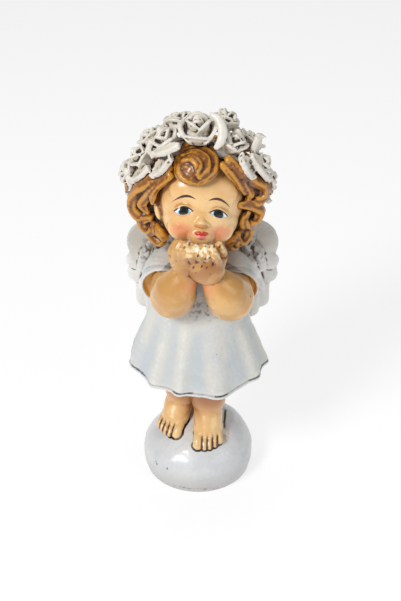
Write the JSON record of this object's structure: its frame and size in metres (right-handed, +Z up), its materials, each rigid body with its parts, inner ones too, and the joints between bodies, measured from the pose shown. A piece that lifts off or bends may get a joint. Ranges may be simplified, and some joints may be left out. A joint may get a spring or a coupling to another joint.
{
  "type": "angel figurine",
  "caption": "Small standing angel on a rounded stone, hands raised to blow a kiss, with curly hair, a rose wreath, a pleated dress and short feathered wings; stands on its flat underside.",
  "frame": {"origin": "middle of the flat underside of the stone", "axes": "+Z up, from the underside to the wreath; the face, hands and toes point towards -Y; +X is on the right of someone who faces the figure"},
  "size_m": [0.0567, 0.0488, 0.1525],
  "materials": {
    "painted_resin": "satin"
  },
  "bodies": {
    "root": {"angel_figurine": "painted_resin"}
  },
  "joints": []
}
